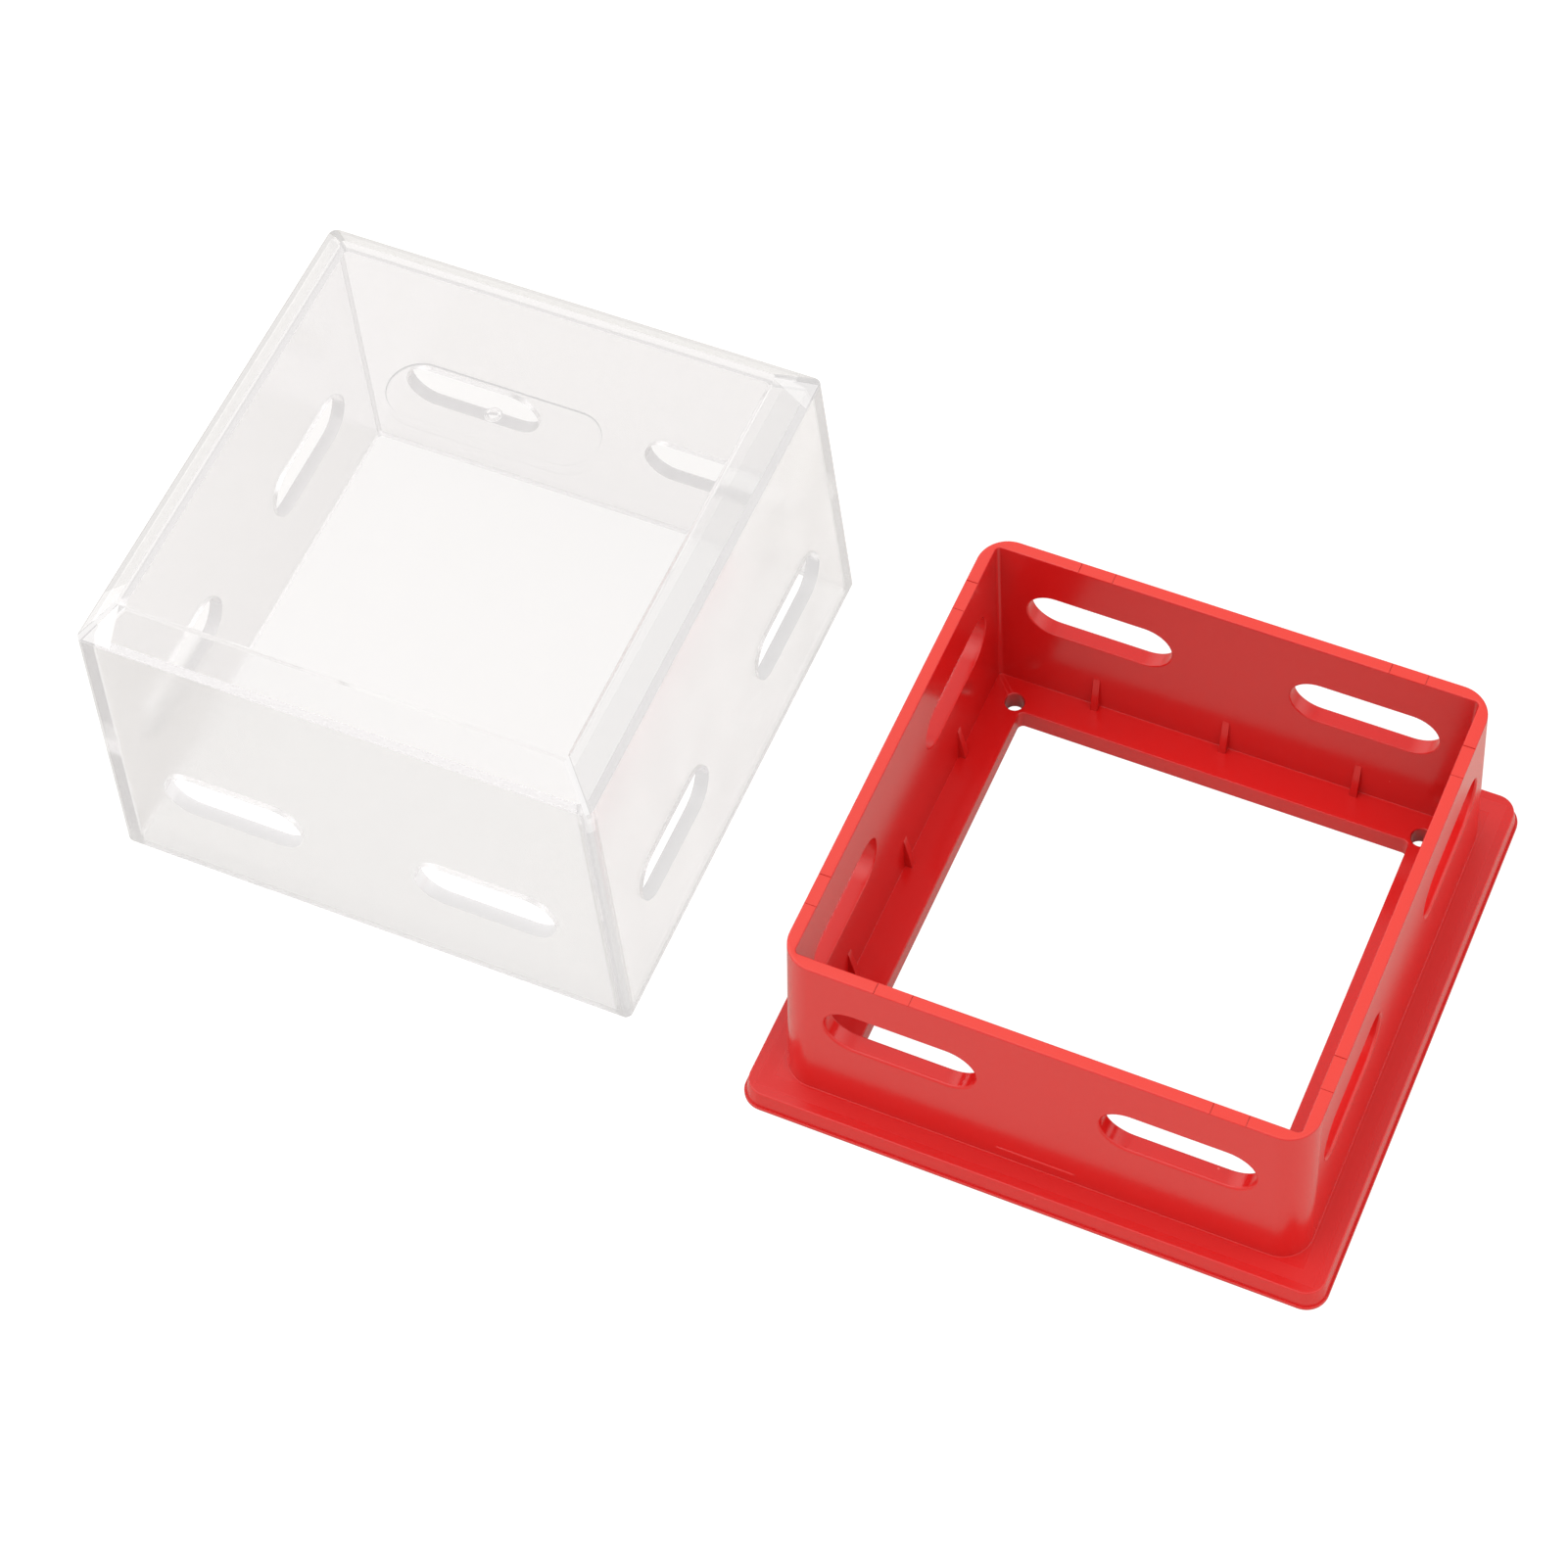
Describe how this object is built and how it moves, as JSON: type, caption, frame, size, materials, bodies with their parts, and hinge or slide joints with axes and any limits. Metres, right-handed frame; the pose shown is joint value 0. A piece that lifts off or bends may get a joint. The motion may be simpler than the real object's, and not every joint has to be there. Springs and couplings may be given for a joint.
{
  "type": "manual call point protective cover",
  "caption": "Square red mounting frame with a slotted upstand and a screw ledge, and a clear chamfered lift-off cover standing beside it.",
  "frame": {"origin": "centre of the four screw holes, on the mounting frame's back face, which goes against the wall", "axes": "+Z out of the wall, +X from where the cover stands towards the frame, +Y up the wall as mounted"},
  "size_m": [0.2434, 0.1141, 0.0714],
  "materials": {
    "red_plastic": "moulded, satin gloss",
    "clear_plastic": "clear polycarbonate, polished"
  },
  "bodies": {
    "frame": {"mounting_frame": "red_plastic"},
    "cover": {"clear_cover": "clear_plastic"}
  },
  "joints": [
    {"name": "cover_lift", "type": "slide", "parent": "frame", "child": "cover", "axis": [0, 0, 1], "range_m": [0, 0.07]}
  ]
}
